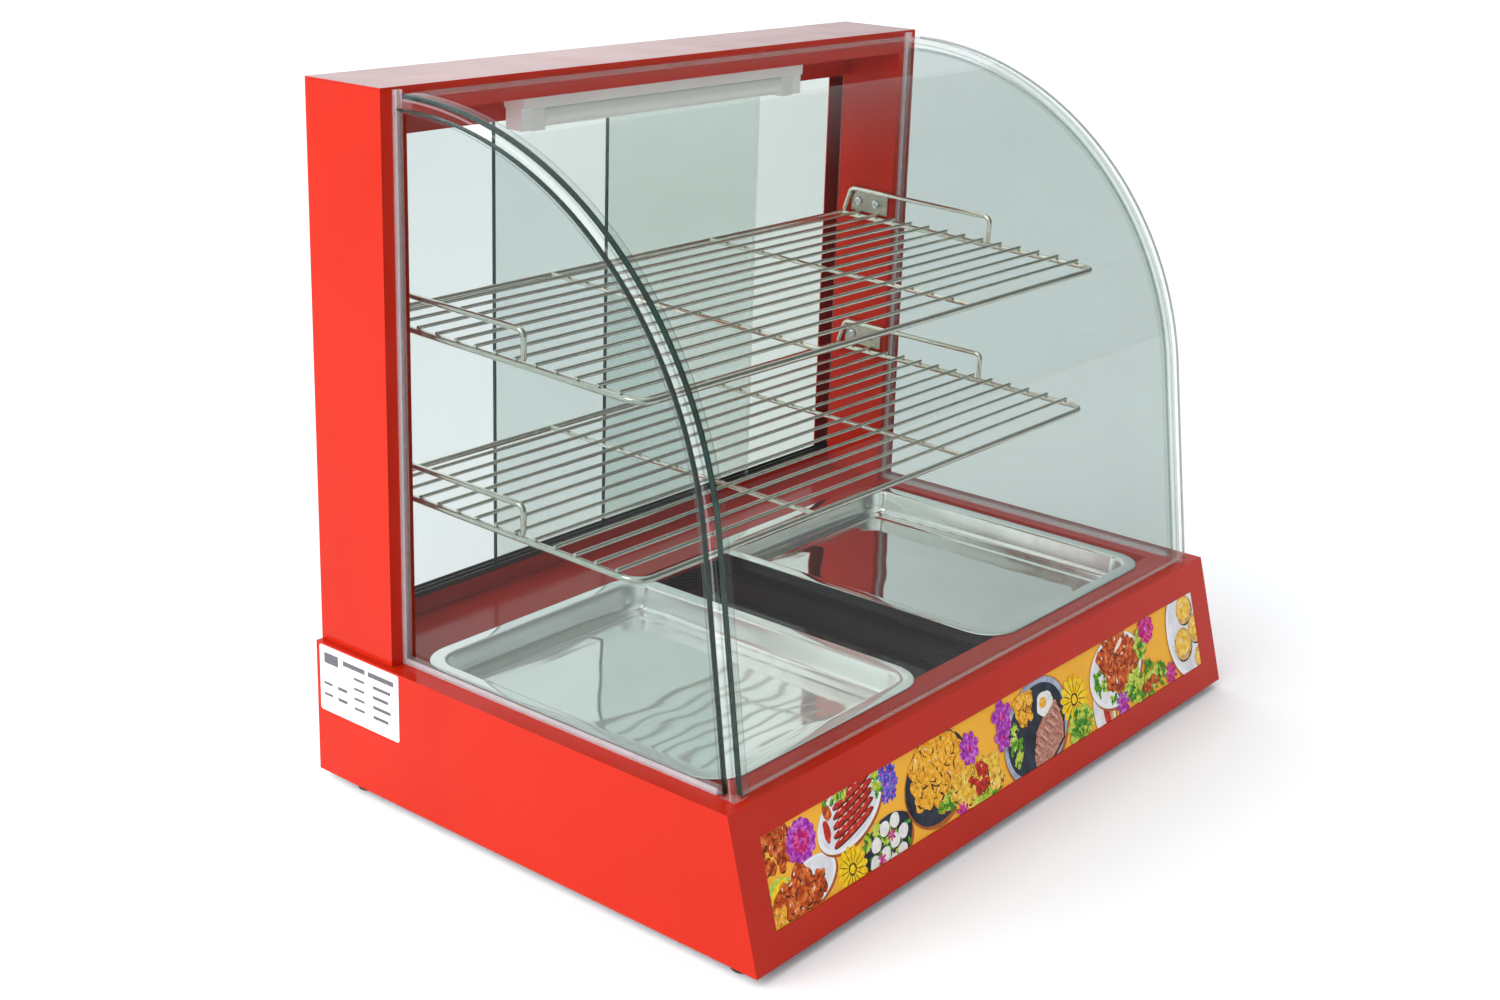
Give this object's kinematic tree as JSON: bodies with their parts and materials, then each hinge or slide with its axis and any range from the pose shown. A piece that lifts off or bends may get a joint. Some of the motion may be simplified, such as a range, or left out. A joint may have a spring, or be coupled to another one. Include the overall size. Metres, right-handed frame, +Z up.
{
  "type": "hot food display case",
  "caption": "Counter-top heated display case: sloped sheet-metal base, lift-out trays, wire shelves, curved front glass, sliding rear doors and an overhead lamp.",
  "frame": {"origin": "centre of the footprint at the bottom of the rubber feet, the thermostat knob included in the depth", "axes": "+Z up, +X to the right for someone who looks at the front glass, -Y towards the customer"},
  "size_m": [0.6604, 0.471, 0.555],
  "materials": {
    "red_paint": "gloss",
    "zinc_sheet": "satin",
    "printed_panel": "gloss",
    "white_label": "satin",
    "dark_enamel": "gloss",
    "stainless": "satin",
    "black_rubber": "matt",
    "element_sheath": "oxidised",
    "dark_plastic": "matt",
    "shaft_steel": "turned",
    "copper": "drawn",
    "green_plastic": "gloss",
    "red_plastic": "gloss",
    "amber_lens": "gloss",
    "white_plastic": "matt",
    "blue_insulation": "satin",
    "black_profile": "satin",
    "clear_glass": "polished",
    "clear_plastic": "extruded",
    "chromed_wire": "bright",
    "white_paint": "satin",
    "lamp_glass": "coated"
  },
  "bodies": {
    "cabinet": {"base_housing": "red_paint", "base_bottom_plate": "zinc_sheet", "graphic_panel": "printed_panel", "rating_label": "white_label", "deck_plate": "dark_enamel", "rubber_feet": "black_rubber", "foot_screws": "zinc_sheet", "heating_element_left": "element_sheath", "heating_element_right": "element_sheath", "element_brackets": "zinc_sheet", "heat_shield": "zinc_sheet", "thermostat_body": "dark_plastic", "thermostat_dial": "white_plastic", "thermostat_probe": "copper", "power_switch_body": "dark_plastic", "light_switch_body": "dark_plastic", "pilot_lamp": "amber_lens", "cable_gland": "dark_plastic", "terminal_block": "white_plastic", "internal_wiring": "blue_insulation", "ballast": "white_paint", "starter": "white_plastic", "left_column": "red_paint", "right_column": "red_paint", "column_screws": "zinc_sheet", "top_hood": "red_paint", "hood_screws": "zinc_sheet", "rear_sill": "red_paint", "door_track_top": "black_profile", "door_track_bottom": "black_profile", "side_glass_left": "clear_glass", "side_glass_right": "clear_glass", "front_glass": "clear_glass", "glass_edge_strip_left": "clear_plastic", "glass_edge_strip_right": "clear_plastic", "column_channel_left": "clear_plastic", "column_channel_right": "clear_plastic", "side_channel_left": "clear_plastic", "side_channel_right": "clear_plastic", "front_bottom_channel": "clear_plastic", "front_top_channel": "clear_plastic", "upper_shelf_grid": "chromed_wire", "upper_shelf_side_rails": "chromed_wire", "upper_shelf_brackets": "stainless", "lower_shelf_grid": "chromed_wire", "lower_shelf_side_rails": "chromed_wire", "lower_shelf_brackets": "stainless", "shelf_screws": "zinc_sheet", "lamp_housing": "white_paint", "lamp_sockets": "white_plastic", "lamp_tube": "lamp_glass"},
    "rear_door_inner": {"rear_door_inner": "clear_glass"},
    "rear_door_outer": {"rear_door_outer": "clear_glass"},
    "tray_left": {"tray_left": "stainless"},
    "tray_right": {"tray_right": "stainless"},
    "thermostat_control": {"thermostat_knob": "dark_plastic", "thermostat_shaft": "shaft_steel"},
    "power_rocker": {"power_switch_rocker": "green_plastic"},
    "light_rocker": {"light_switch_rocker": "red_plastic"}
  },
  "joints": [
    {"name": "rear_door_inner_slide", "type": "slide", "parent": "cabinet", "child": "rear_door_inner", "axis": [1, 0, 0], "range_m": [-0.164, 0.137]},
    {"name": "rear_door_outer_slide", "type": "slide", "parent": "cabinet", "child": "rear_door_outer", "axis": [1, 0, 0], "range_m": [-0.301, 0]},
    {"name": "tray_left_lift", "type": "slide", "parent": "cabinet", "child": "tray_left", "axis": [0, 0, 1], "range_m": [0, 0.08]},
    {"name": "tray_right_lift", "type": "slide", "parent": "cabinet", "child": "tray_right", "axis": [0, 0, 1], "range_m": [0, 0.08]},
    {"name": "thermostat_turn", "type": "hinge", "parent": "cabinet", "child": "thermostat_control", "pos_m": [0.17015, 0.2245, 0.069], "axis": [0, -1, 0], "range_deg": [0, 300]},
    {"name": "power_rocker_tilt", "type": "hinge", "parent": "cabinet", "child": "power_rocker", "pos_m": [0.06015, 0.2145, 0.069], "axis": [1, 0, 0], "range_deg": [0, 16]},
    {"name": "light_rocker_tilt", "type": "hinge", "parent": "cabinet", "child": "light_rocker", "pos_m": [0.10015, 0.2145, 0.069], "axis": [1, 0, 0], "range_deg": [0, 16]}
  ]
}
